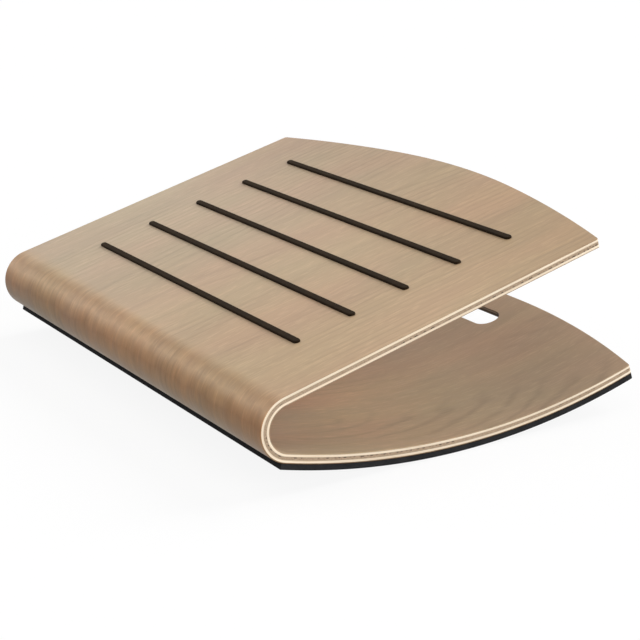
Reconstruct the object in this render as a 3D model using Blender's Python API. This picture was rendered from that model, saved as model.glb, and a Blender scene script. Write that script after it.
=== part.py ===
"""Rocking footrest: one bent five-ply board, five grip strips and a rubber floor mat.

Metres, +Z up. The board is a single moulding. Seen from the side it is a sloping foot board,
a tight bend at the front (-Y, the user's side) and a shallow rocking base that is open at the
back. Every layer is drawn from one side profile, then trimmed by the same cutters, as the
pressed blank is trimmed in one go. The origin is the middle of the line on which the mat
touches the floor, straight below the axis of the rocking curve.
"""

import math

import bmesh
import bpy
from mathutils import Matrix, Vector

# Board, seen from the side
BOARD_WIDTH = 0.440
FOOT_BOARD_LENGTH = 0.2982
FOOT_BOARD_TILT = math.radians(14.0)
BEND_RADIUS = 0.024
ROCKER_RADIUS = 0.534
BASE_FRONT_ANGLE = math.radians(15.1)
BASE_REAR_ANGLE = math.radians(19.08)

# Layers of the board, outside to inside
FACE_VENEER = 0.0006
CORE_PLY = 0.0018
GLUE_LINE = 0.0001

# Open edges: a nearly flat or rounder nose between two shoulder arcs, with eased corners
FOOT_NOSE_HALF_WIDTH = 0.080
FOOT_NOSE_RADIUS = 0.590
FOOT_SHOULDER_RADIUS = 1.110
BASE_NOSE_HALF_WIDTH = 0.060
BASE_NOSE_RADIUS = 4.700
BASE_SHOULDER_RADIUS = 0.664
CORNER_RADIUS = 0.002

# Hand slot through the base, bevelled on the floor side, where the mat is cut back round it
SLOT_LENGTH = 0.136
SLOT_WIDTH = 0.021
SLOT_SETBACK = 0.0333
SLOT_BEVEL = 0.0028
MAT_CUTBACK = 0.0065

# Grip strips, set in grooves across the foot board
STRIP_COUNT = 5
STRIP_LENGTH = 0.320
STRIP_WIDTH = 0.0052
STRIP_PITCH = 0.0459
FIRST_STRIP_SETBACK = 0.0480
STRIP_PROUD = 0.0017
STRIP_EDGE_RADIUS = 0.0007
GROOVE_DEPTH = 0.0015
GROOVE_CLEARANCE = 0.0001

# Floor mat under the base
MAT_THICKNESS = 0.0042
MAT_GLUE_LINE = 0.0001
MAT_FRONT_OVERHANG = 0.0032

# Fineness of the curves
BEND_FACETS = 30
BASE_FACET_ANGLE = math.radians(2.0)
NOSE_SEGMENTS = 8
SHOULDER_SEGMENTS = 10
CORNER_SEGMENTS = 3
ROUND_END_SEGMENTS = 10
EDGE_ROUND_SEGMENTS = 3

# How far the cutters and the untrimmed layers reach past what they cut
TRIM_ALLOWANCE = 0.030
CUTTER_REACH = 0.012

# Angles in the side profile are those of the outward normal, from +Y towards +Z
STRAIGHT_DOWN = 1.5 * math.pi
FOOT_NORMAL = 0.5 * math.pi + FOOT_BOARD_TILT
BASE_FRONT_NORMAL = STRAIGHT_DOWN - BASE_FRONT_ANGLE
BASE_REAR_NORMAL = STRAIGHT_DOWN + BASE_REAR_ANGLE

BOARD_THICKNESS = 2 * FACE_VENEER + 3 * CORE_PLY + 4 * GLUE_LINE
BOARD_OUTER_RADIUS = ROCKER_RADIUS - MAT_THICKNESS - MAT_GLUE_LINE
BOARD_INNER_RADIUS = BOARD_OUTER_RADIUS - BOARD_THICKNESS


def direction(angle):
    """Unit vector in the side profile, as (y, z)."""
    return Vector((math.cos(angle), math.sin(angle)))


ROCKER_AXIS = Vector((0.0, ROCKER_RADIUS))
BEND_AXIS = ROCKER_AXIS + (BOARD_OUTER_RADIUS - BEND_RADIUS) * direction(BASE_FRONT_NORMAL)


def material(name, colour, roughness):
    """A plain Principled material."""
    result = bpy.data.materials.new(name)
    result.use_nodes = True
    shader = result.node_tree.nodes["Principled BSDF"]
    shader.inputs["Base Color"].default_value = (*colour, 1.0)
    shader.inputs["Roughness"].default_value = roughness
    shader.inputs["Metallic"].default_value = 0.0
    result.diffuse_color = (*colour, 1.0)
    return result


def add_object(name, mesh_data, finish=None):
    """Turn a bmesh into a linked object, with outward faces and smooth round surfaces."""
    bmesh.ops.recalc_face_normals(mesh_data, faces=mesh_data.faces)
    mesh = bpy.data.meshes.new(name)
    mesh_data.to_mesh(mesh)
    mesh_data.free()
    result = bpy.data.objects.new(name, mesh)
    bpy.context.scene.collection.objects.link(result)
    if finish:
        mesh.materials.append(finish)
        mesh.shade_smooth()
        mesh.set_sharp_from_angle(angle=math.radians(25))
    return result


def add_cutter(name, mesh_data):
    """A guide that only shapes the layers."""
    result = add_object(name, mesh_data)
    result.hide_render = True
    result.display_type = "WIRE"
    return result


def cut(target, *cutters):
    """Subtract each cutter from the target."""
    for cutter in cutters:
        modifier = target.modifiers.new(cutter.name, "BOOLEAN")
        modifier.operation = "DIFFERENCE"
        modifier.solver = "EXACT"
        modifier.object = cutter


def loft(mesh_data, rings, place=Matrix.Identity(4)):
    """Join closed rings of points by quads and cap both ends."""
    loops = [[mesh_data.verts.new(place @ Vector(point)) for point in ring] for ring in rings]
    for lower, upper in zip(loops, loops[1:]):
        for index in range(len(lower)):
            after = (index + 1) % len(lower)
            mesh_data.faces.new((lower[index], lower[after], upper[after], upper[index]))
    mesh_data.faces.new(reversed(loops[0]))
    mesh_data.faces.new(loops[-1])


def base_normals():
    """Facets of the base: one faces straight down, the others follow at equal steps."""
    first = math.ceil((BASE_FRONT_NORMAL - STRAIGHT_DOWN) / BASE_FACET_ANGLE + 0.5)
    last = math.floor((BASE_REAR_NORMAL - STRAIGHT_DOWN) / BASE_FACET_ANGLE) + 1
    steps = [STRAIGHT_DOWN + index * BASE_FACET_ANGLE for index in range(first, last + 1)]
    return [BASE_FRONT_NORMAL] + steps


def board_facets(depth):
    """Facets of a board layer's face at a depth below the outer face, open end to open end."""
    turn = (BASE_FRONT_NORMAL - FOOT_NORMAL) / BEND_FACETS
    bend_normals = [FOOT_NORMAL + index * turn for index in range(BEND_FACETS)]
    facets = [(normal, BEND_AXIS, BEND_RADIUS - depth) for normal in bend_normals]
    return facets + [(normal, ROCKER_AXIS, BOARD_OUTER_RADIUS - depth) for normal in base_normals()]


def mat_facets(depth):
    """Facets of the mat's face at a depth above the floor side."""
    return [(normal, ROCKER_AXIS, ROCKER_RADIUS - depth) for normal in base_normals()]


def facet_line(facets, start_reach, end_reach):
    """Corners of a chain of flat facets that all touch their arcs, as (y, z) points."""
    planes = []
    for normal, axis, radius in facets:
        outward = direction(normal)
        planes.append((outward, axis.dot(outward) + radius))
    corners = []
    for (one, near), (two, far) in zip(planes, planes[1:]):
        twist = one.x * two.y - one.y * two.x
        corners.append(Vector((near * two.y - far * one.y, far * one.x - near * two.x)) / twist)
    first_normal, first_axis, first_radius = facets[0]
    last_normal, last_axis, last_radius = facets[-1]
    start = first_axis + first_radius * direction(first_normal)
    start -= start_reach * direction(first_normal + 0.5 * math.pi)
    end = last_axis + last_radius * direction(last_normal)
    end += end_reach * direction(last_normal + 0.5 * math.pi)
    return [start] + corners + [end]


def swept_sheet(name, outer_line, inner_line, finish):
    """A sheet of full width between two side profiles."""
    outline = outer_line + inner_line[::-1]
    half = 0.5 * BOARD_WIDTH
    data = bmesh.new()
    loft(data, [[(side, point.x, point.y) for point in outline] for side in (-half, half)])
    return add_object(name, data, finish)


def ply(name, depth, thickness, finish):
    """One layer of the board, from the foot board's open end round to the base's."""
    start_reach = FOOT_BOARD_LENGTH + TRIM_ALLOWANCE
    outer = facet_line(board_facets(depth), start_reach, TRIM_ALLOWANCE)
    inner = facet_line(board_facets(depth + thickness), start_reach, TRIM_ALLOWANCE)
    return swept_sheet(name, outer, inner, finish)


def foot_place():
    """Frame on the foot board's outer face at the bend: x across, y up the slope, z outward."""
    start = BEND_AXIS + BEND_RADIUS * direction(FOOT_NORMAL)
    return Matrix.Translation((0.0, start.x, start.y)) @ Matrix.Rotation(FOOT_BOARD_TILT, 4, "X")


def base_place(angle):
    """Frame on the base's inner face, round the rocking axis: x across, y rearward, z inward."""
    point = ROCKER_AXIS + BOARD_INNER_RADIUS * direction(STRAIGHT_DOWN + angle)
    return Matrix.Translation((0.0, point.x, point.y)) @ Matrix.Rotation(angle, 4, "X")


def arc_points(centre, radius, start, stop, segments):
    """Points of an arc, angles from the +y direction towards +x."""
    points = []
    for index in range(segments + 1):
        angle = start + (stop - start) * index / segments
        points.append((centre[0] + radius * math.sin(angle), centre[1] + radius * math.cos(angle)))
    return points


def open_edge(nose_half_width, nose_radius, shoulder_radius):
    """Outline of an open edge from side to side, with its nose at y = 0."""
    nose_angle = math.asin(nose_half_width / nose_radius)
    nose_centre = (0.0, -nose_radius)
    shift = nose_radius - shoulder_radius
    shoulder_centre = (
        shift * math.sin(nose_angle),
        -nose_radius + shift * math.cos(nose_angle),
    )
    corner_x = 0.5 * BOARD_WIDTH - CORNER_RADIUS
    corner_reach = shoulder_radius - CORNER_RADIUS
    corner_angle = math.asin((corner_x - shoulder_centre[0]) / corner_reach)
    corner_centre = (corner_x, shoulder_centre[1] + corner_reach * math.cos(corner_angle))
    nose = arc_points(nose_centre, nose_radius, 0.0, nose_angle, NOSE_SEGMENTS // 2)
    shoulder = arc_points(
        shoulder_centre, shoulder_radius, nose_angle, corner_angle, SHOULDER_SEGMENTS
    )
    corner = arc_points(
        corner_centre, CORNER_RADIUS, corner_angle, 0.5 * math.pi, CORNER_SEGMENTS
    )
    past_side = (corner[-1][0] + TRIM_ALLOWANCE, corner[-1][1])
    right = nose + shoulder[1:] + corner[1:] + [past_side]
    left = [(-x, y) for x, y in right[:0:-1]]
    return left + right


def edge_cutter(name, edge, place, drop, rise):
    """Block that removes all beyond an open edge, between two heights."""
    block = edge + [(edge[-1][0], 2 * TRIM_ALLOWANCE), (edge[0][0], 2 * TRIM_ALLOWANCE)]
    data = bmesh.new()
    loft(data, [[(x, y, z) for x, y in block] for z in (-drop, rise)], place)
    return add_cutter(name, data)


def stadium(length, width, inset=0.0):
    """Outline of a bar with round ends, centred, its length along x."""
    radius = 0.5 * width - inset
    half = 0.5 * (length - width)
    right = arc_points((half, 0.0), radius, 0.0, math.pi, ROUND_END_SEGMENTS)
    left = arc_points((-half, 0.0), radius, math.pi, 2 * math.pi, ROUND_END_SEGMENTS)
    return right + left


def strip_place(index):
    """Frame of a strip on the foot board's outer face."""
    setback = FIRST_STRIP_SETBACK + index * STRIP_PITCH
    return foot_place() @ Matrix.Translation((0.0, setback, 0.0))


def grip_strip(index, finish):
    """A rubber strip whose upper edges are rounded, standing proud of its groove."""
    rings = [(-GROOVE_DEPTH + GROOVE_CLEARANCE, 0.0)]
    for step in range(EDGE_ROUND_SEGMENTS + 1):
        angle = 0.5 * math.pi * step / EDGE_ROUND_SEGMENTS
        height = STRIP_PROUD - STRIP_EDGE_RADIUS * (1.0 - math.sin(angle))
        rings.append((height, STRIP_EDGE_RADIUS * (1.0 - math.cos(angle))))
    data = bmesh.new()
    outlines = [
        [(x, y, z) for x, y in stadium(STRIP_LENGTH, STRIP_WIDTH, inset)] for z, inset in rings
    ]
    loft(data, outlines, strip_place(index))
    return add_object(f"grip_strip_{index + 1}", data, finish)


def groove_cutter():
    """The grooves that hold the strips."""
    spread = 2 * GROOVE_CLEARANCE
    outline = stadium(STRIP_LENGTH + spread, STRIP_WIDTH + spread)
    data = bmesh.new()
    for index in range(STRIP_COUNT):
        rings = [[(x, y, z) for x, y in outline] for z in (-GROOVE_DEPTH, CUTTER_REACH)]
        loft(data, rings, strip_place(index))
    return add_cutter("groove_cutter", data)


def slot_place():
    """Frame of the hand slot on the base's inner face."""
    return base_place(BASE_REAR_ANGLE - SLOT_SETBACK / BOARD_INNER_RADIUS)


def slot_cutter():
    """The hand slot, square to the base, with a bevel of 45 degrees round its floor side."""
    drop = BOARD_THICKNESS + CUTTER_REACH
    rings = (
        (-drop, -SLOT_BEVEL - CUTTER_REACH),
        (SLOT_BEVEL - BOARD_THICKNESS, 0.0),
        (CUTTER_REACH, 0.0),
    )
    data = bmesh.new()
    outlines = [
        [(x, y, z) for x, y in stadium(SLOT_LENGTH, SLOT_WIDTH, inset)] for z, inset in rings
    ]
    loft(data, outlines, slot_place())
    return add_cutter("slot_cutter", data)


def mat_slot_cutter():
    """The wider opening that leaves the mat clear of the hand slot."""
    outline = stadium(SLOT_LENGTH, SLOT_WIDTH, -MAT_CUTBACK)
    drop = BOARD_THICKNESS + MAT_GLUE_LINE + MAT_THICKNESS + CUTTER_REACH
    data = bmesh.new()
    loft(data, [[(x, y, z) for x, y in outline] for z in (-drop, CUTTER_REACH)], slot_place())
    return add_cutter("mat_slot_cutter", data)


def foot_edge_cutter():
    """Trims the foot board's open end, square to the board."""
    edge = open_edge(FOOT_NOSE_HALF_WIDTH, FOOT_NOSE_RADIUS, FOOT_SHOULDER_RADIUS)
    place = foot_place() @ Matrix.Translation((0.0, FOOT_BOARD_LENGTH, 0.0))
    return edge_cutter(
        "foot_edge_cutter", edge, place, BOARD_THICKNESS + CUTTER_REACH, CUTTER_REACH
    )


def base_edge_cutter():
    """Trims the base and the mat together, square to the base."""
    edge = open_edge(BASE_NOSE_HALF_WIDTH, BASE_NOSE_RADIUS, BASE_SHOULDER_RADIUS)
    drop = BOARD_THICKNESS + MAT_GLUE_LINE + MAT_THICKNESS + CUTTER_REACH
    return edge_cutter("base_edge_cutter", edge, base_place(BASE_REAR_ANGLE), drop, CUTTER_REACH)


def floor_mat(finish):
    """Rubber sheet glued to the underside of the base, with a straight front edge."""
    outer = facet_line(mat_facets(0.0), MAT_FRONT_OVERHANG, TRIM_ALLOWANCE)
    inner = facet_line(mat_facets(MAT_THICKNESS), MAT_FRONT_OVERHANG, TRIM_ALLOWANCE)
    return swept_sheet("floor_mat", outer, inner, finish)


def build():
    """Model the whole footrest."""
    for item in list(bpy.data.objects):
        bpy.data.objects.remove(item, do_unlink=True)

    face_wood = material("face_wood", (0.50, 0.38, 0.26), 0.45)
    pale_wood = material("pale_wood", (0.86, 0.74, 0.58), 0.60)
    brown_wood = material("brown_wood", (0.50, 0.37, 0.25), 0.65)
    grip_rubber = material("grip_rubber", (0.035, 0.030, 0.026), 0.70)
    mat_rubber = material("mat_rubber", (0.022, 0.022, 0.024), 0.80)

    foot_edge = foot_edge_cutter()
    base_edge = base_edge_cutter()
    hand_slot = slot_cutter()
    mat_slot = mat_slot_cutter()
    grooves = groove_cutter()

    layers = (
        ("outer_face_veneer", FACE_VENEER, face_wood),
        ("outer_core_ply", CORE_PLY, pale_wood),
        ("centre_core_ply", CORE_PLY, brown_wood),
        ("inner_core_ply", CORE_PLY, pale_wood),
        ("inner_face_veneer", FACE_VENEER, face_wood),
    )
    depth = 0.0
    for name, thickness, finish in layers:
        layer = ply(name, depth, thickness, finish)
        cut(layer, foot_edge, base_edge, hand_slot)
        if depth < GROOVE_DEPTH:
            cut(layer, grooves)
        depth += thickness + GLUE_LINE

    for index in range(STRIP_COUNT):
        grip_strip(index, grip_rubber)

    mat = floor_mat(mat_rubber)
    cut(mat, base_edge, mat_slot)


build()
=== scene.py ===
"""The looks of the rocking footrest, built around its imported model.

Metres, in the same frame as the model: x across, y from the bend to the open end, z up.
Each layer of the bent board is made again as a finer sheet. A sheet is laid out flat first,
in x across and s along the outer face, then wrapped round the side profile, so that its
grain follows the board through the bend. s is 0 where the bend starts at the foot board; it
is negative up the foot board and grows round the bend and along the base.
"""

import math

import bpy
import numpy as np
from mathutils import Matrix, Vector
from mathutils.geometry import delaunay_2d_cdt


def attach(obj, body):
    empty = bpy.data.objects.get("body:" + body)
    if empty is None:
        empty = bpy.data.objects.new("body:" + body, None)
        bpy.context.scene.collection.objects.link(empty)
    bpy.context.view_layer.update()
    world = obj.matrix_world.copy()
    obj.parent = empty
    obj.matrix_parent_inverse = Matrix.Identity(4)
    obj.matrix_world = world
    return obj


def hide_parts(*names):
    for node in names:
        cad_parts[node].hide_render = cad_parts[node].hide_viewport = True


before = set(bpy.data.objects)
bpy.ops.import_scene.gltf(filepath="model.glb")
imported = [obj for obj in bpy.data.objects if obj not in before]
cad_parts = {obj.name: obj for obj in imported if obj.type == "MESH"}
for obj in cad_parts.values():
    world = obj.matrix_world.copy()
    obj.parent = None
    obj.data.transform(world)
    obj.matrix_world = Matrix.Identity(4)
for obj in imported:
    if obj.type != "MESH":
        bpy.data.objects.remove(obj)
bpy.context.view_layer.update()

# Board, as in the model
BOARD_WIDTH = 0.440
FOOT_BOARD_LENGTH = 0.2982
FOOT_BOARD_TILT = math.radians(14.0)
BEND_RADIUS = 0.024
ROCKER_RADIUS = 0.534
BASE_FRONT_ANGLE = math.radians(15.1)
BASE_REAR_ANGLE = math.radians(19.08)

# Layers of the board. The glue line is closed here but for a hair
FACE_VENEER = 0.0006
CORE_PLY = 0.0018
GLUE_LINE = 0.0001
LAYER_SEAM = 0.00001

# Open edges
FOOT_NOSE_HALF_WIDTH = 0.080
FOOT_NOSE_RADIUS = 0.590
FOOT_SHOULDER_RADIUS = 1.110
BASE_NOSE_HALF_WIDTH = 0.060
BASE_NOSE_RADIUS = 4.700
BASE_SHOULDER_RADIUS = 0.664
CORNER_RADIUS = 0.002

# Hand slot, bevelled on the floor side, where the mat is cut back round it
SLOT_LENGTH = 0.136
SLOT_WIDTH = 0.021
SLOT_SETBACK = 0.0333
SLOT_BEVEL = 0.0028
MAT_CUTBACK = 0.0065

# Grip strips and their grooves
STRIP_COUNT = 5
STRIP_LENGTH = 0.320
STRIP_WIDTH = 0.0052
STRIP_PITCH = 0.0459
FIRST_STRIP_SETBACK = 0.0480
STRIP_PROUD = 0.0017
STRIP_EDGE_RADIUS = 0.0009
GROOVE_DEPTH = 0.0015
GROOVE_CLEARANCE = 0.0001

# Floor mat
MAT_THICKNESS = 0.0042
MAT_GLUE_LINE = 0.0001
MAT_FRONT_OVERHANG = 0.0032

# Eased arrises
WOOD_ARRIS = 0.00035
MAT_ARRIS = 0.0003

# Fineness of the curves
BEND_STEP = math.radians(3.0)
BASE_STEP = math.radians(0.75)
NOSE_SEGMENTS = 32
SHOULDER_SEGMENTS = 48
ROUND_END_SEGMENTS = 24
CORNER_SEGMENTS = 8
ARRIS_SEGMENTS = 4
SEAM_OFFSET = 0.0004
SHARP_ANGLE = math.radians(35)
NEAR = 1e-6

# Camera
CAMERA_PLACE = Vector((1.20321, -0.68375, 0.47228))
CAMERA_FORWARD = Vector((-0.82368, 0.48179, -0.29903))
CAMERA_UP = Vector((-0.24244, 0.17749, 0.95379))
CAMERA_LENS = 104.289
CAMERA_SENSOR = 36.0

# Light and floor
AMBIENT_LEVEL = 0.14
FLOOR_COLOUR = (0.60, 0.60, 0.60, 1.0)
FLOOR_GLOW = 1.06
FLOOR_GLOW_SHARE = 0.85
FLOOR_REACH = 6.0
FLOOR_DROP = 0.0002

# Lamps: name, direction they shine from, how wide they are in degrees, level
LAMPS = [
    ("back", (0.00, 0.80, 0.60), 40.0, 0.85),
    ("top", (-0.28, -0.23, 0.93), 60.0, 0.28),
    ("side", (0.95, 0.10, 0.30), 45.0, 0.62),
    ("glint", (-0.82, -0.41, 0.39), 24.0, 0.12),
]


def srgb(red, green, blue):
    """Linear colour of an 8-bit screen colour."""
    def linear(value):
        share = value / 255
        return share / 12.92 if share <= 0.04045 else ((share + 0.055) / 1.055) ** 2.4
    return (linear(red), linear(green), linear(blue), 1.0)


# Face veneers: finish, and the two colours that each drifts between
WOOD_SPECULAR = 0.25
WOOD_ROUGHNESS = 0.44
WOOD_RELIEF = 0.00004
OUTER_PINK = srgb(185, 158, 132)
OUTER_GREEN = srgb(179, 160, 131)
# The inner face's colours are darker than the outer face's, partly as a darker leaf and partly as
# painted shade of the hollow under the foot board
INNER_PINK = srgb(170, 141, 114)
INNER_GREEN = srgb(162, 144, 113)
VENEER_EDGE_TINT = (0.62, 0.55, 0.48, 1.0)

# Figure of the veneers, and the painted reflection ripples round the bend: how wide and how long their
# features are
BROAD_FIGURE = (0.055, 0.35)
HUE_FIGURE = (0.075, 0.16)
PATCH_FIGURE = (0.060, 0.20)
STREAK_FIGURE = (0.009, 0.16)
GRAIN_FIGURE = (0.0011, 0.045)
FLECK_FIGURE = (0.0012, 0.014)
PORE_FIGURE = (0.00035, 0.0045)
RIPPLE_REFLECTION_SIZE = (0.010, 0.017)

# Growth lines: where the pith is, depth of the cut, slope, pitch and how far they wander
OUTER_LINES = (-0.020, 0.060, 0.10, 0.0068, 0.010)
OUTER_LINE_STRENGTH = 0.10
INNER_LINES = (0.150, 0.0385, -0.35, 0.0110, 0.030)
INNER_LINE_STRENGTH = 0.15

# What the outer face is multiplied by on the left, on the right and at the far end
LEFT_TINT = (1.00, 1.03, 1.08, 1.0)
RIGHT_TINT = (1.00, 0.94, 0.86, 1.0)
FAR_TINT = (0.87, 0.82, 0.77, 1.0)
FAR_START = -0.12

# What the outer face is multiplied by at stations round the bend. It holds some of the
# photo's shading, which soft studio light alone doesn't give
BEND_TONES = [
    (-0.006, (1.00, 1.00, 1.00)),
    (0.008, (1.02, 0.91, 0.79)),
    (0.015, (1.26, 1.13, 0.98)),
    (0.021, (1.02, 0.83, 0.65)),
    (0.028, (0.77, 0.56, 0.37)),
    (0.035, (0.75, 0.59, 0.39)),
    (0.042, (0.67, 0.58, 0.44)),
    (0.055, (0.58, 0.50, 0.38)),
]

# What the inner face is multiplied by near the bend, and where it fades: painted light, which makes
# the hollow near the bend lighter than the lamps leave it
INNER_BEND_PAINTED_LIGHT = (1.68, 1.60, 1.53, 1.0)
INNER_BEND_REACH = (0.08, 0.21)

# Core plies, the stains at their seams, the painted shade of small voids at the seam between the
# centre ply and the inner ply, and the dark colour of the slot's wall
PLY_SPECULAR = 0.25
PLY_ROUGHNESS = 0.65
PLY_RELIEF = 0.00005
PALE_LIGHT = srgb(247, 231, 207)
PALE_DARK = srgb(232, 211, 183)
PALE_GRAIN = (0.0009, 0.040, 0.00035)
BROWN_LIGHT = srgb(182, 159, 134)
BROWN_DARK = srgb(152, 128, 103)
BROWN_GRAIN = (0.040, 0.0009, 0.00035)
SPECK_COLOUR = srgb(92, 72, 54)
GLUE_TINT = srgb(176, 153, 128)
GLUE_REACH = (0.00045, 0.00025)
CORE_GAP_SHADE = srgb(58, 46, 36)
CORE_GAP_REACH = (0.0008, 0.0004)
# The slot's cut wall is coloured dark
SLOT_WALL_COLOUR = srgb(70, 52, 38)
SLOT_WALL_REACH = 0.0001

# Rubber, with the size of its pebbles
RUBBER_SPECULAR = 0.06
RUBBER_RELIEF = 0.00012
GRIP_LIGHT = srgb(42, 31, 19)
GRIP_DARK = srgb(34, 25, 15)
GRIP_ROUGHNESS = 0.75
GRIP_PEBBLE = 0.0012
MAT_LIGHT = srgb(46, 46, 47)
MAT_DARK = srgb(38, 38, 39)
MAT_ROUGHNESS = 0.80
MAT_PEBBLE = 0.0016

STRAIGHT_DOWN = 1.5 * math.pi
FOOT_NORMAL = 0.5 * math.pi + FOOT_BOARD_TILT
BASE_FRONT_NORMAL = STRAIGHT_DOWN - BASE_FRONT_ANGLE
BASE_REAR_NORMAL = STRAIGHT_DOWN + BASE_REAR_ANGLE

BOARD_THICKNESS = 2 * FACE_VENEER + 3 * CORE_PLY + 4 * GLUE_LINE
BOARD_OUTER_RADIUS = ROCKER_RADIUS - MAT_THICKNESS - MAT_GLUE_LINE
BOARD_INNER_RADIUS = BOARD_OUTER_RADIUS - BOARD_THICKNESS
HALF_WIDTH = 0.5 * BOARD_WIDTH

BEND_LENGTH = BEND_RADIUS * (BASE_FRONT_NORMAL - FOOT_NORMAL)
BASE_LENGTH = BOARD_OUTER_RADIUS * (BASE_REAR_NORMAL - BASE_FRONT_NORMAL)
BASE_END = BEND_LENGTH + BASE_LENGTH

SLOT_HALF_STRAIGHT = 0.5 * (SLOT_LENGTH - SLOT_WIDTH)
SLOT_STATION = BASE_END - SLOT_SETBACK * BOARD_OUTER_RADIUS / BOARD_INNER_RADIUS
CENTRE_PLY_FLOOR = FACE_VENEER + 2 * CORE_PLY + 3 * GLUE_LINE
CENTRE_PLY_TOP = CENTRE_PLY_FLOOR - CORE_PLY
CORE_GAP_DEPTH = tuple(CENTRE_PLY_FLOOR - reach for reach in CORE_GAP_REACH)
OUTER_GLUE_DEPTH = tuple(CENTRE_PLY_TOP - reach for reach in GLUE_REACH)
INNER_GLUE_DEPTH = tuple(CENTRE_PLY_FLOOR + reach for reach in GLUE_REACH)


def direction(angle):
    """Unit vectors in the side profile, as an array of (y, z)."""
    return np.stack((np.cos(angle), np.sin(angle)), axis=-1)


ROCKER_AXIS = np.array((0.0, ROCKER_RADIUS))
BEND_AXIS = ROCKER_AXIS + (BOARD_OUTER_RADIUS - BEND_RADIUS) * direction(BASE_FRONT_NORMAL)


def board_points(x, station, depth):
    """Places of flat points on the board at depths below its outer face."""
    foot = BEND_AXIS + (BEND_RADIUS - depth)[:, None] * direction(FOOT_NORMAL)
    foot = foot + station[:, None] * direction(FOOT_NORMAL + 0.5 * math.pi)
    turn = FOOT_NORMAL + station / BEND_RADIUS
    bend = BEND_AXIS + (BEND_RADIUS - depth)[:, None] * direction(turn)
    swing = BASE_FRONT_NORMAL + (station - BEND_LENGTH) / BOARD_OUTER_RADIUS
    base = ROCKER_AXIS + (BOARD_OUTER_RADIUS - depth)[:, None] * direction(swing)
    profile = np.where((station < 0)[:, None], foot, bend)
    profile = np.where((station > BEND_LENGTH)[:, None], base, profile)
    return np.column_stack((x, profile))


def mat_points(x, station, depth):
    """Places of flat points on the mat, at depths below its upper face. Its front runs straight."""
    radius = ROCKER_RADIUS - MAT_THICKNESS + depth
    swing = BASE_FRONT_NORMAL + np.maximum(station - BEND_LENGTH, 0.0) / BOARD_OUTER_RADIUS
    curved = ROCKER_AXIS + radius[:, None] * direction(swing)
    ahead = np.minimum(station - BEND_LENGTH, 0.0)[:, None]
    profile = curved + ahead * direction(BASE_FRONT_NORMAL + 0.5 * math.pi)
    return np.column_stack((x, profile))


def arc_points(centre, radius, start, stop, segments):
    """Points of an arc, angles from the +y direction towards +x."""
    angles = np.linspace(start, stop, segments + 1)
    return [
        (centre[0] + radius * math.sin(angle), centre[1] + radius * math.cos(angle))
        for angle in angles
    ]


def open_edge(nose_half_width, nose_radius, shoulder_radius):
    """Right half of an open edge, from its nose at (0, 0) to the side, with a rounded corner."""
    nose_angle = math.asin(nose_half_width / nose_radius)
    shift = nose_radius - shoulder_radius
    centre = (shift * math.sin(nose_angle), shift * math.cos(nose_angle) - nose_radius)
    corner_x = HALF_WIDTH - CORNER_RADIUS
    corner_reach = shoulder_radius - CORNER_RADIUS
    corner_angle = math.asin((corner_x - centre[0]) / corner_reach)
    corner = (corner_x, centre[1] + corner_reach * math.cos(corner_angle))
    nose = arc_points((0.0, -nose_radius), nose_radius, 0.0, nose_angle, NOSE_SEGMENTS // 2)
    shoulder = arc_points(centre, shoulder_radius, nose_angle, corner_angle, SHOULDER_SEGMENTS)
    rounded = arc_points(corner, CORNER_RADIUS, corner_angle, 0.5 * math.pi, CORNER_SEGMENTS)
    return nose + shoulder[1:] + rounded[1:]


def stadium(length, width, segments, inset=0.0):
    """Outline of a bar with round ends, centred, its length along x."""
    radius = 0.5 * width - inset
    half = 0.5 * (length - width)
    right = arc_points((half, 0.0), radius, 0.0, math.pi, segments)
    left = arc_points((-half, 0.0), radius, math.pi, 2 * math.pi, segments)
    return right + left


def base_station(y_local):
    """Station of a point on the base from its place beyond the base's nose, square to the nose."""
    return BASE_END + BOARD_OUTER_RADIUS * math.asin(y_local / BOARD_INNER_RADIUS)


def slot_loop(margin=0.0):
    """Flat outline of the hand slot, or of an opening wider than it by a margin."""
    return [
        (x, SLOT_STATION + BOARD_OUTER_RADIUS * math.asin(y / BOARD_INNER_RADIUS))
        for x, y in stadium(SLOT_LENGTH, SLOT_WIDTH, ROUND_END_SEGMENTS, -margin)
    ]


def groove_loops():
    """Flat outlines of the grooves in the foot board."""
    spread = 2 * GROOVE_CLEARANCE
    outline = stadium(STRIP_LENGTH + spread, STRIP_WIDTH + spread, ROUND_END_SEGMENTS // 2)
    loops = []
    for index in range(STRIP_COUNT):
        middle = -(FIRST_STRIP_SETBACK + index * STRIP_PITCH)
        loops.append([(x, middle + y) for x, y in outline])
    return loops


def mirrored(right):
    """A closed half outline's left side joined to its right side, from left to right."""
    return [(-x, y) for x, y in right[:0:-1]] + right


def board_outline():
    """Flat outline of the trimmed blank."""
    foot = [
        (x, -(FOOT_BOARD_LENGTH + y))
        for x, y in mirrored(open_edge(FOOT_NOSE_HALF_WIDTH, FOOT_NOSE_RADIUS, FOOT_SHOULDER_RADIUS))
    ]
    base = [
        (x, base_station(y))
        for x, y in mirrored(open_edge(BASE_NOSE_HALF_WIDTH, BASE_NOSE_RADIUS, BASE_SHOULDER_RADIUS))
    ]
    return foot + base[::-1]


def mat_outline():
    """Flat outline of the mat, with a straight front."""
    base = [
        (x, base_station(y))
        for x, y in mirrored(open_edge(BASE_NOSE_HALF_WIDTH, BASE_NOSE_RADIUS, BASE_SHOULDER_RADIUS))
    ]
    front = BEND_LENGTH - MAT_FRONT_OVERHANG
    return [(-HALF_WIDTH, front), (HALF_WIDTH, front)] + base[::-1]


def bend_stations():
    """Stations at which a sheet gets a line across, so that it bends smoothly."""
    bend_count = round(BEND_LENGTH / BEND_RADIUS / BEND_STEP)
    base_count = round(BASE_LENGTH / BOARD_OUTER_RADIUS / BASE_STEP)
    bend = [BEND_LENGTH * index / bend_count for index in range(bend_count + 1)]
    base = [BEND_LENGTH + BASE_LENGTH * index / base_count for index in range(1, base_count)]
    return [-SEAM_OFFSET] + bend + [BEND_LENGTH + SEAM_OFFSET] + base


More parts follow.
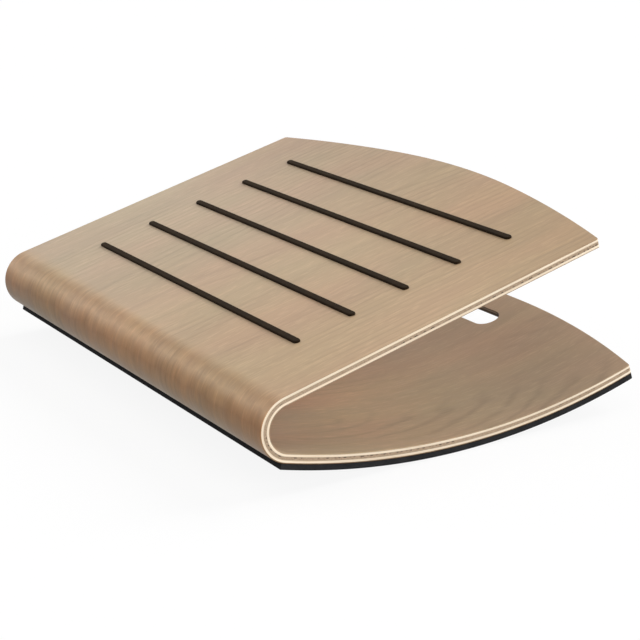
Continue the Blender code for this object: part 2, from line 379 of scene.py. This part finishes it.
def inside(loop, x, y):
    """Whether a point lies in a closed outline."""
    hit = False
    for (x1, y1), (x2, y2) in zip(loop, loop[1:] + loop[:1]):
        if (y1 > y) != (y2 > y) and x < x1 + (y - y1) * (x2 - x1) / (y2 - y1):
            hit = not hit
    return hit


def near_loop(loop, x, y):
    """Whether a point lies on a closed outline."""
    for (x1, y1), (x2, y2) in zip(loop, loop[1:] + loop[:1]):
        run = (x2 - x1, y2 - y1)
        length = math.hypot(*run)
        along = ((x - x1) * run[0] + (y - y1) * run[1]) / length
        aside = abs((x - x1) * run[1] - (y - y1) * run[0]) / length
        if -NEAR < along < length + NEAR and aside < NEAR:
            return True
    return False


class FlatSheet:
    """A flat pattern: its triangles, and the points and outward normals of its cut edges."""

    def __init__(self, outline, holes=(), grooves=(), stations=()):
        low = min(y for _, y in outline)
        high = max(y for _, y in outline)
        points, edges = [], []
        for loop in [outline, *holes, *grooves]:
            first = len(points)
            points += loop
            edges += [(first + k, first + (k + 1) % len(loop)) for k in range(len(loop))]
        for station in stations:
            if low < station < high:
                points += [(-HALF_WIDTH, station), (HALF_WIDTH, station)]
                edges.append((len(points) - 2, len(points) - 1))
        cloud, _, faces, *_ = delaunay_2d_cdt([Vector(p) for p in points], edges, [], 0, 1e-7)
        self.points = np.array([tuple(p) for p in cloud])
        self.body, self.groove = [], []
        for face in faces:
            x, y = self.points[list(face)].mean(axis=0)
            if not inside(outline, x, y) or any(inside(hole, x, y) for hole in holes):
                continue
            in_groove = any(inside(groove, x, y) for groove in grooves)
            (self.groove if in_groove else self.body).append(tuple(face))
        self.groove_rim = self.border(self.groove)
        self.rim, self.hole_rim = [], []
        for edge in self.border(self.body + self.groove):
            x, y = self.points[list(edge)].mean(axis=0)
            in_hole = any(near_loop(hole, x, y) for hole in holes)
            (self.hole_rim if in_hole else self.rim).append(edge)

    def border(self, faces):
        """Directed edges that only one of the faces has."""
        seen = set()
        for face in faces:
            seen |= set(zip(face, face[1:] + face[:1]))
        return [edge for edge in seen if edge[::-1] not in seen]

    def inset(self, distance, hole_distance):
        """The points, with those on the rims moved into the sheet, mitred at corners."""
        moved = self.points.copy()
        self.move(moved, distance, self.rim)
        self.move(moved, hole_distance, self.hole_rim)
        return moved

    def move(self, moved, distance, edges):
        """Move the points of the given edges into the sheet."""
        normals = {}
        for one, two in edges:
            along = self.points[two] - self.points[one]
            left = np.array((-along[1], along[0])) / np.linalg.norm(along)
            for point in (one, two):
                normals.setdefault(point, []).append(left)
        for point, lefts in normals.items():
            mean = np.mean(lefts, axis=0)
            moved[point] += distance * mean / mean.dot(mean)


def arris(radius, depth_at, inward):
    """Rings of an eased edge, as (inset, depth), from the face to the wall."""
    rings = []
    for angle in np.linspace(0.0, 0.5 * math.pi, ARRIS_SEGMENTS + 1):
        drop = radius * (1.0 - math.cos(angle))
        rings.append((radius * (1.0 - math.sin(angle)), depth_at + inward * drop))
    return rings


def slot_bevel(depth):
    """How far the hand slot's bevel has widened it at a depth below the board's outer face."""
    return max(0.0, SLOT_BEVEL - depth)


def wrapped_sheet(name, flat, wrap, rings, groove_depth=None, through_grooves=False):
    """A closed sheet from its flat pattern, with a ring of each rim for each depth.

    rings are (inset, inset round the holes, depth), from the top face to the bottom face.
    """
    count = len(flat.points)
    places, layout, faces = [], [], []

    def add_layer(points, depth):
        first = len(layout) * count
        depths = np.full(count, depth)
        places.append(wrap(points[:, 0], points[:, 1], depths))
        layout.append(np.column_stack((points, depths)))
        return first

    def add_faces(triangles, first, flipped):
        for face in triangles:
            order = face[::-1] if flipped else face
            faces.append(tuple(first + k for k in order))

    def add_wall(edges, upper, lower):
        for one, two in edges:
            faces.append((upper + one, lower + one, lower + two, upper + two))

    layers = [add_layer(flat.inset(*distances), depth) for *distances, depth in rings]
    for upper, lower in zip(layers, layers[1:]):
        add_wall(flat.rim + flat.hole_rim, upper, lower)
    if groove_depth is None and not through_grooves:
        add_faces(flat.body + flat.groove, layers[0], False)
        add_faces(flat.body + flat.groove, layers[-1], True)
    elif through_grooves:
        add_faces(flat.body, layers[0], False)
        add_faces(flat.body, layers[-1], True)
        add_wall([edge[::-1] for edge in flat.groove_rim], layers[0], layers[-1])
    else:
        floor = add_layer(flat.points, groove_depth)
        add_faces(flat.body, layers[0], False)
        add_faces(flat.groove, floor, False)
        add_faces(flat.body + flat.groove, layers[-1], True)
        add_wall([edge[::-1] for edge in flat.groove_rim], layers[0], floor)

    return finished_mesh(name, np.concatenate(places), np.concatenate(layout), faces)


def finished_mesh(name, places, layout, faces):
    """An object from points, their flat places and faces, with unused points left out."""
    used = sorted({k for face in faces for k in face})
    renumber = {old: new for new, old in enumerate(used)}
    mesh = bpy.data.meshes.new(name)
    mesh.from_pydata(places[used].tolist(), [], [[renumber[k] for k in f] for f in faces])
    attribute = mesh.attributes.new("sheet", "FLOAT_VECTOR", "POINT")
    attribute.data.foreach_set("vector", layout[used].astype(np.float32).ravel())
    mesh.shade_smooth()
    mesh.set_sharp_from_angle(angle=SHARP_ANGLE)
    piece = bpy.data.objects.new(name, mesh)
    bpy.context.scene.collection.objects.link(piece)
    even = piece.modifiers.new("even_normals", "WEIGHTED_NORMAL")
    even.keep_sharp = True
    return piece


def board_layers():
    """The five layers of the board, outermost first."""
    flat = FlatSheet(board_outline(), [slot_loop()], groove_loops(), bend_stations())
    thickness = [FACE_VENEER, CORE_PLY, CORE_PLY, CORE_PLY, FACE_VENEER]
    names = ["outer_veneer", "outer_ply", "centre_ply", "inner_ply", "inner_veneer"]
    pieces = []
    top = 0.0
    for index, (name, thick) in enumerate(zip(names, thickness)):
        bottom = top + thick + (GLUE_LINE if index < len(names) - 1 else 0.0)
        floor = bottom - LAYER_SEAM if index < len(names) - 1 else bottom
        rings = [(0.0, slot_bevel(top), top), (0.0, slot_bevel(floor), floor)]
        if index == 0:
            eased = [(inset, slot_bevel(depth), depth) for inset, depth in arris(WOOD_ARRIS, top, 1.0)]
            rings = eased + rings[1:]
        if top < SLOT_BEVEL < floor:
            rings.insert(1, (0.0, 0.0, SLOT_BEVEL))
        if index == len(names) - 1:
            eased = [(inset, inset, depth) for inset, depth in arris(WOOD_ARRIS, floor, -1.0)]
            rings = rings[:1] + eased[::-1]
        pieces.append(
            wrapped_sheet(
                name,
                flat,
                board_points,
                rings,
                groove_depth=GROOVE_DEPTH if top < GROOVE_DEPTH < bottom else None,
                through_grooves=bottom < GROOVE_DEPTH,
            )
        )
        top = bottom
    return pieces


def floor_mat():
    """The rubber mat under the base."""
    flat = FlatSheet(mat_outline(), [slot_loop(MAT_CUTBACK)], (), bend_stations())
    eased = [(inset, inset, depth) for inset, depth in arris(MAT_ARRIS, MAT_THICKNESS, -1.0)]
    rings = [(0.0, 0.0, 0.0)] + eased[::-1]
    return wrapped_sheet("rubber_mat", flat, mat_points, rings)


def grip_strips():
    """The rubber strips, each in its groove."""
    pieces = []
    for index in range(STRIP_COUNT):
        middle = -(FIRST_STRIP_SETBACK + index * STRIP_PITCH)
        rings = arris(STRIP_EDGE_RADIUS, -STRIP_PROUD, 1.0)
        rings.append((0.0, GROOVE_DEPTH - GROOVE_CLEARANCE))
        loops = [
            np.array(stadium(STRIP_LENGTH, STRIP_WIDTH, ROUND_END_SEGMENTS, inset))
            for inset, _ in rings
        ]
        size = len(loops[0])
        flat = np.concatenate(loops) + np.array((0.0, middle))
        depth = np.repeat([ring[1] for ring in rings], size)
        faces = [tuple(range(size - 1, -1, -1))]
        for level in range(len(rings) - 1):
            for k in range(size):
                after = (k + 1) % size
                upper = level * size
                lower = upper + size
                faces.append((upper + k, upper + after, lower + after, lower + k))
        last = (len(rings) - 1) * size
        faces.append(tuple(range(last, last + size)))
        places = board_points(flat[:, 0], flat[:, 1], depth)
        layout = np.column_stack((flat, depth))
        pieces.append(finished_mesh(f"strip_{index + 1}", places, layout, faces))
    return pieces


class Graph:
    """A material's nodes, with short ways to add them. Sizes of grain are in metres."""

    def __init__(self, name, specular):
        self.material = bpy.data.materials.new(name)
        self.material.use_nodes = True
        self.nodes = self.material.node_tree.nodes
        self.links = self.material.node_tree.links
        self.shader = self.nodes["Principled BSDF"]
        self.shader.inputs["Specular IOR Level"].default_value = specular
        sheet = self.nodes.new("ShaderNodeAttribute")
        sheet.attribute_name = "sheet"
        self.sheet = sheet.outputs["Vector"]
        split = self.nodes.new("ShaderNodeSeparateXYZ")
        self.links.new(self.sheet, split.inputs[0])
        self.across, self.station, self.depth = split.outputs

    def node(self, kind, values, output=0, **settings):
        """Add a node. Its inputs, by name or number, take values or other nodes' outputs."""
        node = self.nodes.new("ShaderNode" + kind)
        for key, value in settings.items():
            setattr(node, key, value)
        for key, value in values.items():
            if isinstance(value, bpy.types.NodeSocket):
                self.links.new(value, node.inputs[key])
            else:
                node.inputs[key].default_value = value
        return node.outputs[output]

    def math(self, operation, one, two=0.0, three=0.0):
        return self.node("Math", {0: one, 1: two, 2: three}, operation=operation)

    def reach(self, one, two):
        """Length of a vector in the sheet."""
        vector = self.node("CombineXYZ", {0: one, 1: two})
        return self.node("VectorMath", {0: vector}, output=1, operation="LENGTH")

    def noise(self, width, length, thickness=1.0, seed=0.0, detail=2.0):
        """Noise about 0.5, its features of the given sizes across, along and into the sheet."""
        place = self.node(
            "VectorMath",
            {
                0: self.sheet,
                1: (1.0 / width, 1.0 / length, 1.0 / thickness),
                2: (seed, 1.7 * seed, 2.3 * seed),
            },
            operation="MULTIPLY_ADD",
        )
        return self.node("TexNoise", {"Vector": place, "Scale": 1.0, "Detail": detail})

    def ease(self, value, start, stop, low=0.0, high=1.0):
        """A smooth step from low at start to high at stop."""
        values = {0: value, 1: start, 2: stop, 3: low, 4: high}
        return self.node("MapRange", values, interpolation_type="SMOOTHSTEP")

    def vary(self, base, *weighted):
        """base, plus each noise's distance from 0.5 times its weight."""
        result = base - 0.5 * sum(weight for _, weight in weighted)
        for noise, weight in weighted:
            result = self.math("MULTIPLY_ADD", noise, weight, result)
        return result

    def mix(self, share, one, two, blend="MIX"):
        """Blend of two colours."""
        values = {0: share, 6: one, 7: two}
        return self.node("Mix", values, output=2, data_type="RGBA", blend_type=blend)

    def ramp(self, value, stops):
        """Colours at places from 0 to 1."""
        result = self.node("ValToRGB", {0: value})
        elements = result.node.color_ramp.elements
        elements[0].position, elements[0].color = stops[0]
        elements[1].position, elements[1].color = stops[-1]
        for position, colour in stops[1:-1]:
            elements.new(position).color = colour
        return result

    def shade(self, colour, factor):
        """A colour made lighter or darker."""
        return self.node("VectorMath", {0: colour, 3: factor}, operation="SCALE")

    def growth_lines(self, pith, cut_depth, slope, pitch, wander, seed):
        """Growth lines of a flat-cut leaf, 1 where dark: straight beside the pith, arched over it."""
        aside = self.math("SUBTRACT", self.across, pith)
        below = self.math("MULTIPLY_ADD", self.station, slope, cut_depth)
        radius = self.reach(aside, below)
        drift = self.noise(0.050, 0.120, seed=seed, detail=3.0)
        radius = self.math("MULTIPLY_ADD", drift, wander, radius)
        wave = self.math("PINGPONG", self.math("MULTIPLY", radius, 2.0 / pitch), 1.0)
        return self.ease(wave, 0.45, 1.0)

    def darken_slot_wall(self, colour):
        """Darken a colour on the cut wall of the hand slot."""
        past_end = self.math("SUBTRACT", self.math("ABSOLUTE", self.across), SLOT_HALF_STRAIGHT)
        past_end = self.math("MAXIMUM", past_end, 0.0)
        aside = self.math("SUBTRACT", self.station, SLOT_STATION)
        bevel = self.math("MAXIMUM", self.math("SUBTRACT", SLOT_BEVEL, self.depth), 0.0)
        gap = self.math("SUBTRACT", self.reach(past_end, aside), bevel)
        wall = 0.5 * SLOT_WIDTH
        share = self.ease(gap, wall + SLOT_WALL_REACH, wall + 2 * SLOT_WALL_REACH, 1.0, 0.0)
        return self.mix(share, colour, SLOT_WALL_COLOUR)

    def finish(self, colour, roughness, height, relief):
        """Feed the shader, with a relief from heights between 0 and 1."""
        normal = self.node("Bump", {"Strength": 1.0, "Distance": relief, "Height": height})
        for key, value in (("Base Color", colour), ("Roughness", roughness), ("Normal", normal)):
            self.links.new(value, self.shader.inputs[key])
        return self.material


def face_veneer(name, seed, pink, green, line_strength, line_shape, wall_depth, bent=False):
    """Lacquered face veneer. Its grain runs along the sheet."""
    graph = Graph(name, WOOD_SPECULAR)
    broad = graph.noise(*BROAD_FIGURE, seed=seed)
    streaks = graph.noise(*STREAK_FIGURE, seed=seed + 3.1, detail=3.0)
    grain = graph.noise(*GRAIN_FIGURE, seed=seed + 5.7, detail=3.0)
    pores = graph.ease(graph.noise(*PORE_FIGURE, seed=seed + 8.3, detail=1.0), 0.62, 0.72)
    flecks = graph.ease(graph.noise(*FLECK_FIGURE, seed=seed + 29.0, detail=2.0), 0.53, 0.66)
    hue = graph.ease(graph.noise(*HUE_FIGURE, seed=seed + 11.9), 0.25, 0.75)
    lines = graph.growth_lines(*line_shape, seed=seed + 13.3)
    patch = graph.ease(graph.noise(*PATCH_FIGURE, seed=seed + 17.1), 0.42, 0.62)
    lines = graph.math("MULTIPLY", lines, patch)
    colour = graph.mix(hue, pink, green)
    factor = graph.vary(1.0, (broad, 0.30), (streaks, 0.24), (grain, 0.16))
    factor = graph.math("MULTIPLY_ADD", lines, -line_strength, factor)
    factor = graph.math("MULTIPLY_ADD", pores, -0.07, factor)
    factor = graph.math("MULTIPLY_ADD", flecks, 0.13, factor)
    if bent:
        # Painted shade, a painted highlight band and painted reflection ripples round the outer face's
        # bend
        colour, factor = outer_tones(graph, seed, colour, factor)
    else:
        # Painted light on the inner face near the bend
        colour = inner_painted_light(graph, colour)
    colour = graph.shade(colour, factor)
    edge = graph.ease(graph.depth, *wall_depth)
    colour = graph.mix(edge, colour, graph.mix(1.0, colour, VENEER_EDGE_TINT, "MULTIPLY"))
    colour = graph.darken_slot_wall(colour)
    roughness = graph.vary(WOOD_ROUGHNESS, (grain, 0.25), (broad, 0.15))
    height = graph.vary(0.5, (grain, 0.8), (streaks, 0.5))
    height = graph.math("MULTIPLY_ADD", pores, -0.3, height)
    return graph.finish(colour, roughness, height, WOOD_RELIEF)


def outer_tones(graph, seed, colour, factor):
    """Drift of colour over the foot board, and painted shade, a painted highlight band and painted
    reflection ripples round the bend.
    """
    side = graph.ease(graph.across, -HALF_WIDTH, HALF_WIDTH)
    side = graph.math("MAXIMUM", side, graph.ease(graph.station, -0.012, 0.008))
    colour = graph.mix(1.0, colour, graph.mix(side, LEFT_TINT, RIGHT_TINT), "MULTIPLY")
    far = graph.ease(graph.station, -FOOT_BOARD_LENGTH, FAR_START, 1.0, 0.0)
    colour = graph.mix(far, colour, graph.mix(1.0, colour, FAR_TINT, "MULTIPLY"))

    # Painted reflection: lighter and darker ripples across the bend
    ripple = graph.noise(*RIPPLE_REFLECTION_SIZE, seed=seed + 21.0, detail=4.0)
    on_bend = graph.ease(graph.station, -0.004, 0.010)
    ripple = graph.math("MULTIPLY", graph.math("SUBTRACT", ripple, 0.5), on_bend)
    factor = graph.math("MULTIPLY_ADD", ripple, 0.52, factor)
    # Painted shade: the lower part of the bend darker towards the left
    left = graph.ease(graph.across, -HALF_WIDTH, 0.0, -0.20, 0.0)
    under = graph.ease(graph.station, 0.018, 0.034)
    factor = graph.math("MULTIPLY_ADD", left, under, factor)

    # Painted shade and a painted highlight band round the bend, from BEND_TONES
    drift = graph.vary(0.0, (graph.noise(0.016, 0.030, seed=seed + 25.0), 0.010))
    place = graph.math("ADD", graph.station, drift)
    place = graph.ease(place, BEND_TONES[0][0], BEND_TONES[-1][0])
    colour = graph.mix(1.0, colour, graph.ramp(place, bend_stops()), "MULTIPLY")
    return colour, factor


def inner_painted_light(graph, colour):
    """Painted light: the inner face lighter near the bend, but less so beside the side edges."""
    aside = graph.math("ABSOLUTE", graph.math("SUBTRACT", graph.station, BEND_LENGTH))
    near = graph.ease(aside, *INNER_BEND_REACH, 1.0, 0.0)
    beside = graph.ease(graph.math("ABSOLUTE", graph.across), 0.15, HALF_WIDTH, 1.0, 0.3)
    near = graph.math("MULTIPLY", near, beside)
    return graph.mix(near, colour, graph.mix(1.0, colour, INNER_BEND_PAINTED_LIGHT, "MULTIPLY"))


def bend_stops():
    """The bend's tones as places between the first and the last, eased as the station is."""
    first, last = BEND_TONES[0][0], BEND_TONES[-1][0]
    stops = []
    for station, tint in BEND_TONES:
        share = (station - first) / (last - first)
        stops.append((share * share * (3.0 - 2.0 * share), (*tint, 1.0)))
    return stops


def core_ply(name, seed, light, dark, grain_size, glue_depth=None, specks=False):
    """Sanded edge of an inner ply. Grain has the given sizes across, along and into the sheet."""
    graph = Graph(name, PLY_SPECULAR)
    across, along, into = grain_size
    grain = graph.noise(across, along, into, seed=seed, detail=3.0)
    flow = graph.noise(6 * across, 2 * along, 3 * into, seed=seed + 4.0)
    broad = graph.noise(0.05, 0.05, seed=seed + 9.0)
    colour = graph.mix(graph.ease(grain, 0.40, 0.68), light, dark)
    factor = graph.vary(1.0, (flow, 0.30), (broad, 0.18))
    colour = graph.shade(colour, factor)
    if glue_depth:
        colour = graph.mix(graph.ease(graph.depth, *glue_depth), colour, GLUE_TINT)
    if specks:
        vessels = graph.noise(0.004, 0.0009, 0.0004, seed=seed + 15.0, detail=2.0)
        colour = graph.mix(graph.ease(vessels, 0.60, 0.70, 0.0, 0.7), colour, SPECK_COLOUR)
        # Painted shade of small voids at the seam between the centre ply and the inner ply
        gaps = graph.noise(0.02, 0.0035, 0.01, seed=seed + 31.0, detail=1.0)
        run = graph.noise(0.20, 0.050, 0.1, seed=seed + 37.0, detail=1.0)
        gaps = graph.math("MULTIPLY", graph.ease(gaps, 0.50, 0.58), graph.ease(run, 0.40, 0.54))
        seam = graph.ease(graph.depth, *CORE_GAP_DEPTH)
        colour = graph.mix(graph.math("MULTIPLY", gaps, seam), colour, CORE_GAP_SHADE)
    colour = graph.darken_slot_wall(colour)
    roughness = graph.vary(PLY_ROUGHNESS, (grain, 0.3))
    return graph.finish(colour, roughness, grain, PLY_RELIEF)


def rubber(name, seed, light, dark, roughness, cell):
    """Matt rubber with a finely pebbled skin."""
    graph = Graph(name, RUBBER_SPECULAR)
    mottle = graph.noise(0.012, 0.012, 0.012, seed=seed, detail=4.0)
    dust = graph.noise(0.0006, 0.0006, 0.0006, seed=seed + 6.0, detail=2.0)
    pebbles = graph.noise(cell, cell, cell, seed=seed + 12.0, detail=3.0)
    colour = graph.mix(graph.ease(mottle, 0.3, 0.7), light, dark)
    factor = graph.vary(1.0, (dust, 0.7), (pebbles, 0.4))
    colour = graph.shade(colour, factor)
    return graph.finish(colour, graph.vary(roughness, (dust, 0.3)), pebbles, RUBBER_RELIEF)


def add_camera():
    """Camera at the photograph's place and angle."""
    data = bpy.data.cameras.new("camera")
    data.lens = CAMERA_LENS
    data.sensor_width = CAMERA_SENSOR
    data.clip_start = 0.01
    camera = bpy.data.objects.new("camera", data)
    bpy.context.scene.collection.objects.link(camera)
    right = CAMERA_FORWARD.cross(CAMERA_UP).normalized()
    up = right.cross(CAMERA_FORWARD).normalized()
    back = -CAMERA_FORWARD.normalized()
    turn = Matrix((right, up, back)).transposed()
    camera.matrix_world = Matrix.Translation(CAMERA_PLACE) @ turn.to_4x4()
    bpy.context.scene.camera = camera


def add_lamp(name, direction, angle, level):
    """Soft distant lamp. Its level is what a white surface that faces it renders at."""
    data = bpy.data.lights.new(name, "SUN")
    data.angle = math.radians(angle)
    data.energy = level * math.pi
    lamp = bpy.data.objects.new(name, data)
    bpy.context.scene.collection.objects.link(lamp)
    lamp.rotation_mode = "QUATERNION"
    lamp.rotation_quaternion = Vector(direction).to_track_quat("Z", "Y")


def background_ray(nodes, links):
    """1 for a ray that should find the plain white background, as the camera's do."""
    path = nodes.new("ShaderNodeLightPath")
    rays = path.outputs["Is Camera Ray"]
    for kind in ("Is Glossy Ray", "Is Transmission Ray"):
        either = nodes.new("ShaderNodeMath")
        either.operation = "MAXIMUM"
        links.new(rays, either.inputs[0])
        links.new(path.outputs[kind], either.inputs[1])
        rays = either.outputs[0]
    return rays


def add_world():
    """Soft even light, plain white behind the footrest."""
    world = bpy.data.worlds.new("studio")
    bpy.context.scene.world = world
    world.use_nodes = True
    nodes, links = world.node_tree.nodes, world.node_tree.links
    nodes.clear()
    output = nodes.new("ShaderNodeOutputWorld")
    light = nodes.new("ShaderNodeBackground")
    light.inputs["Color"].default_value = (1.0, 1.0, 1.0, 1.0)
    light.inputs["Strength"].default_value = AMBIENT_LEVEL
    white = nodes.new("ShaderNodeBackground")
    white.inputs["Color"].default_value = (1.0, 1.0, 1.0, 1.0)
    mix = nodes.new("ShaderNodeMixShader")
    links.new(background_ray(nodes, links), mix.inputs[0])
    links.new(light.outputs[0], mix.inputs[1])
    links.new(white.outputs[0], mix.inputs[2])
    links.new(mix.outputs[0], output.inputs["Surface"])


def floor_material():
    """Pale floor that the camera sees as white, but for the footrest's soft shadow."""
    result = bpy.data.materials.new("floor")
    result.use_nodes = True
    nodes, links = result.node_tree.nodes, result.node_tree.links
    nodes.clear()
    output = nodes.new("ShaderNodeOutputMaterial")
    matt = nodes.new("ShaderNodeBsdfDiffuse")
    matt.inputs["Color"].default_value = FLOOR_COLOUR
    glow = nodes.new("ShaderNodeEmission")
    glow.inputs["Strength"].default_value = FLOOR_GLOW
    share = nodes.new("ShaderNodeMath")
    share.operation = "MULTIPLY"
    share.inputs[1].default_value = FLOOR_GLOW_SHARE
    mix = nodes.new("ShaderNodeMixShader")
    links.new(background_ray(nodes, links), share.inputs[0])
    links.new(share.outputs[0], mix.inputs[0])
    links.new(matt.outputs[0], mix.inputs[1])
    links.new(glow.outputs[0], mix.inputs[2])
    links.new(mix.outputs[0], output.inputs["Surface"])
    return result


def add_floor():
    """Plain pale floor."""
    mesh = bpy.data.meshes.new("floor")
    corners = [
        (x * FLOOR_REACH, y * FLOOR_REACH, 0.0) for x, y in ((-1, -1), (1, -1), (1, 1), (-1, 1))
    ]
    mesh.from_pydata(corners, [], [(0, 1, 2, 3)])
    floor = bpy.data.objects.new("floor", mesh)
    bpy.context.scene.collection.objects.link(floor)
    floor.location.z = -FLOOR_DROP
    mesh.materials.append(floor_material())


def dress():
    """Make every piece, finish it and fix it to the model."""
    outer_face = face_veneer(
        "outer_face_wood", 3.0, OUTER_PINK, OUTER_GREEN, OUTER_LINE_STRENGTH,
        line_shape=OUTER_LINES,
        wall_depth=(0.00040, 0.00055),
        bent=True,
    )
    inner_face = face_veneer(
        "inner_face_wood", 47.0, INNER_PINK, INNER_GREEN, INNER_LINE_STRENGTH,
        line_shape=INNER_LINES,
        wall_depth=(BOARD_THICKNESS - 0.00040, BOARD_THICKNESS - 0.00055),
    )
    outer_pale = core_ply(
        "outer_pale_ply", 61.0, PALE_LIGHT, PALE_DARK, PALE_GRAIN, OUTER_GLUE_DEPTH
    )
    inner_pale = core_ply(
        "inner_pale_ply", 83.0, PALE_LIGHT, PALE_DARK, PALE_GRAIN, INNER_GLUE_DEPTH
    )
    centre = core_ply(
        "brown_ply", 71.0, BROWN_LIGHT, BROWN_DARK, BROWN_GRAIN, specks=True
    )
    grip = rubber("grip_rubber", 91.0, GRIP_LIGHT, GRIP_DARK, GRIP_ROUGHNESS, GRIP_PEBBLE)
    mat_rubber = rubber("mat_rubber", 97.0, MAT_LIGHT, MAT_DARK, MAT_ROUGHNESS, MAT_PEBBLE)

    finishes = [
        ("outer_face_veneer", outer_face, "face_wood"),
        ("outer_core_ply", outer_pale, "pale_ply"),
        ("centre_core_ply", centre, "brown_ply"),
        ("inner_core_ply", inner_pale, "pale_ply"),
        ("inner_face_veneer", inner_face, "face_wood"),
    ]
    for piece, (node, finish, slot) in zip(board_layers(), finishes):
        piece.data.materials.append(finish)
        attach(piece, "root")
        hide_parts(node)
    for index, piece in enumerate(grip_strips()):
        piece.data.materials.append(grip)
        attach(piece, "root")
        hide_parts(f"grip_strip_{index + 1}")
    mat = floor_mat()
    mat.data.materials.append(mat_rubber)
    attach(mat, "root")
    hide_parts("floor_mat")


dress()
add_camera()
add_world()
for lamp in LAMPS:
    add_lamp(*lamp)
add_floor()
bpy.context.scene.view_settings.view_transform = "Standard"
